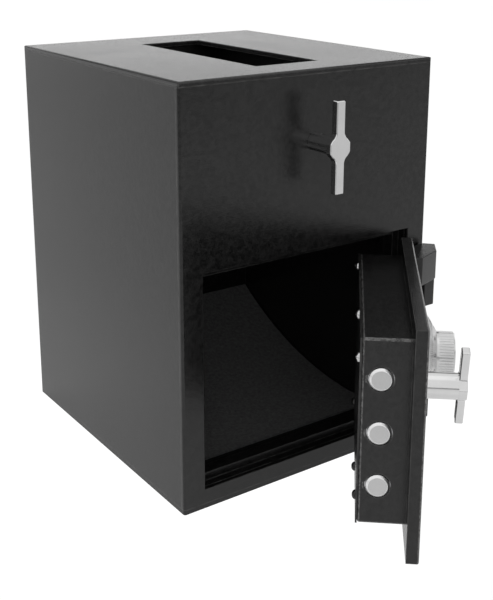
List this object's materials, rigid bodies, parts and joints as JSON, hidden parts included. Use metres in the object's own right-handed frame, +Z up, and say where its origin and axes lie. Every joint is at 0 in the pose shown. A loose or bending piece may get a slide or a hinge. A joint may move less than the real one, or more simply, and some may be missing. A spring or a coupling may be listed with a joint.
{
  "type": "rotary drop safe",
  "caption": "Welded steel drop safe with a top slot over a turning hopper drum, and a recessed plate door with live bolts, T handle and dial lock.",
  "frame": {"origin": "middle of the cabinet's underside, on the surface it stands on", "axes": "+Z up, -Y out of the front face, +X to the hinge side"},
  "size_m": [0.374, 0.6519, 0.508],
  "materials": {
    "powder_coat": "fine-textured satin powder coat",
    "inner_coat": "satin black paint",
    "floor_mat": "needled felt",
    "handle_chrome": "polished chrome plate",
    "dial_chrome": "satin chrome plate",
    "bolt_nickel": "faced and nickel plated",
    "screw_zinc": "bright zinc plate",
    "lock_brass": "machined brass",
    "machined_steel": "turned steel"
  },
  "bodies": {
    "cabinet": {"floor_panel": "powder_coat", "left_side_panel": "powder_coat", "right_side_panel": "powder_coat", "rear_panel": "powder_coat", "front_panel": "powder_coat", "roof_panel": "powder_coat", "left_door_stop": "inner_coat", "right_door_stop": "inner_coat", "door_sill_stop": "inner_coat", "door_header_stop": "inner_coat", "floor_mat": "floor_mat", "chute_front_plate": "inner_coat", "chute_rear_plate": "inner_coat", "chute_left_guard": "inner_coat", "chute_right_guard": "inner_coat", "front_spindle_bush": "lock_brass", "rear_spindle_bush": "lock_brass", "upper_cabinet_hinge_leaf": "powder_coat", "lower_cabinet_hinge_leaf": "powder_coat", "hinge_pins": "machined_steel", "hinge_washers": "lock_brass"},
    "hopper": {"drum_shell": "inner_coat", "drum_front_end": "inner_coat", "drum_rear_end": "inner_coat", "hopper_spindle": "machined_steel", "drum_rear_journal": "machined_steel", "hopper_handle": "handle_chrome", "hopper_handle_pin": "machined_steel", "journal_clip": "machined_steel"},
    "door": {"door_plate": "powder_coat", "bolt_box": "inner_coat", "bolt_box_cover": "inner_coat", "cover_screws": "screw_zinc", "bolt_guide": "machined_steel", "dead_bar": "inner_coat", "upper_door_hinge_leaf": "powder_coat", "lower_door_hinge_leaf": "powder_coat", "handle_bush": "lock_brass", "dial_ring": "dial_chrome", "dial_ring_screws": "screw_zinc", "lock_case": "lock_brass", "lock_case_cover": "lock_brass", "lock_screws": "machined_steel"},
    "dial": {"combination_dial": "dial_chrome", "dial_knob": "dial_chrome", "dial_spindle": "machined_steel", "drive_cam": "lock_brass"},
    "wheel_pack": {"combination_wheels": "lock_brass"},
    "lock_bolt": {"lock_bolt": "lock_brass"},
    "handle": {"door_handle": "handle_chrome", "door_handle_spindle": "machined_steel", "handle_crank": "machined_steel", "crank_pin": "machined_steel"},
    "bolt_work": {"bolt_bar": "machined_steel", "live_bolts": "bolt_nickel", "bolt_screws": "machined_steel"}
  },
  "joints": [
    {"name": "door_swing", "type": "hinge", "parent": "cabinet", "child": "door", "pos_m": [0.174, -0.219, 0.15], "axis": [0, 0, 1], "range_deg": [-49.3, 70.7]},
    {"name": "hopper_turn", "type": "hinge", "parent": "cabinet", "child": "hopper", "pos_m": [0, -0.0125, 0.423], "axis": [0, 1, 0], "continuous": true},
    {"name": "dial_spin", "type": "hinge", "parent": "door", "child": "dial", "pos_m": [0.10393, -0.26689, 0.158], "axis": [0.7581, -0.6521, 0], "continuous": true},
    {"name": "wheel_spin", "type": "hinge", "parent": "door", "child": "wheel_pack", "pos_m": [0.08338, -0.24921, 0.158], "axis": [0.7581, -0.6521, 0], "continuous": true},
    {"name": "handle_turn", "type": "hinge", "parent": "door", "child": "handle", "pos_m": [0.04393, -0.33663, 0.158], "axis": [0.7581, -0.6521, 0], "range_deg": [0, 90]},
    {"name": "bolt_throw", "type": "slide", "parent": "door", "child": "bolt_work", "axis": [-0.6521, -0.7581, 0], "range_m": [0, 0.024]},
    {"name": "lock_bolt_throw", "type": "slide", "parent": "door", "child": "lock_bolt", "axis": [-0.6521, -0.7581, 0], "range_m": [0, 0.0095]}
  ],
  "couplings": [
    {"joint": "wheel_spin", "follows": "dial_spin", "ratio": 1},
    {"joint": "handle_turn", "follows": "bolt_throw", "rad_per_m": 65.4},
    {"joint": "lock_bolt_throw", "follows": "bolt_throw", "ratio": 0.3958}
  ]
}
